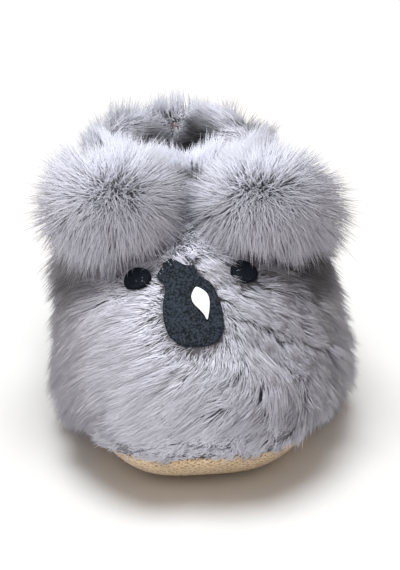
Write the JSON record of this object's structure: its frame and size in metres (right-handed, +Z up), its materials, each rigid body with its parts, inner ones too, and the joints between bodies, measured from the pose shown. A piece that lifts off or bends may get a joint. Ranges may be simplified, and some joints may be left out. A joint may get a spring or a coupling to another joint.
{
  "type": "animal slipper",
  "caption": "Toddler's plush slipper with an animal face: combed fur upper with an open collar, pompom ears, padded nose and eyes, and a soft turned-up sole.",
  "frame": {"origin": "on the floor plane, under the middle of the heel's flat", "axes": "+Z up, the toe along -Y, the outer side of the foot along +X"},
  "size_m": [0.0939, 0.1617, 0.083],
  "materials": {
    "plush": "long soft combed pile",
    "ear_plush": "longer soft pile, standing out all round",
    "suede": "grainy tan suede",
    "fleece": "short brushed lining",
    "dark_felt": "stitched charcoal fabric",
    "white_felt": "smooth white fabric"
  },
  "bodies": {
    "root": {"sole": "suede", "insole": "fleece", "upper": "plush", "ear_outer": "ear_plush", "ear_inner": "ear_plush", "nose": "dark_felt", "nose_glint": "white_felt", "eye_outer": "dark_felt", "eye_inner": "dark_felt"}
  },
  "joints": []
}
